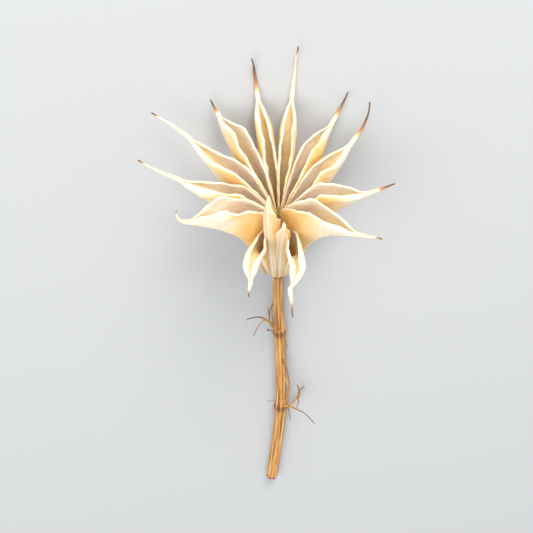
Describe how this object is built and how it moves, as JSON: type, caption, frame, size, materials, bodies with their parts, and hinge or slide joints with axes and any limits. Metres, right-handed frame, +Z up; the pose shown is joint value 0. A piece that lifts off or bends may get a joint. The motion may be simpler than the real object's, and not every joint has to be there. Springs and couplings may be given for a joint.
{
  "type": "nigella seed pod",
  "caption": "Dried, bleached star-shaped seed pod of split, beaked follicles joined round an axis, on a cut ribbed stem with withered thread leaves.",
  "frame": {"origin": "middle of the footprint, on the surface that the pod and its stem lie on", "axes": "+Z up, +Y along the stem towards the pod's open mouth, +X to the right when seen from behind the cut end"},
  "size_m": [0.0414, 0.1002, 0.0283],
  "materials": {
    "papery_wall": "bleached, papery and faintly satin, with golden veins and brown beak tips",
    "dry_stem": "matte dry straw with darker furrows"
  },
  "bodies": {
    "root": {"capsule": "papery_wall", "stem": "dry_stem"}
  },
  "joints": []
}
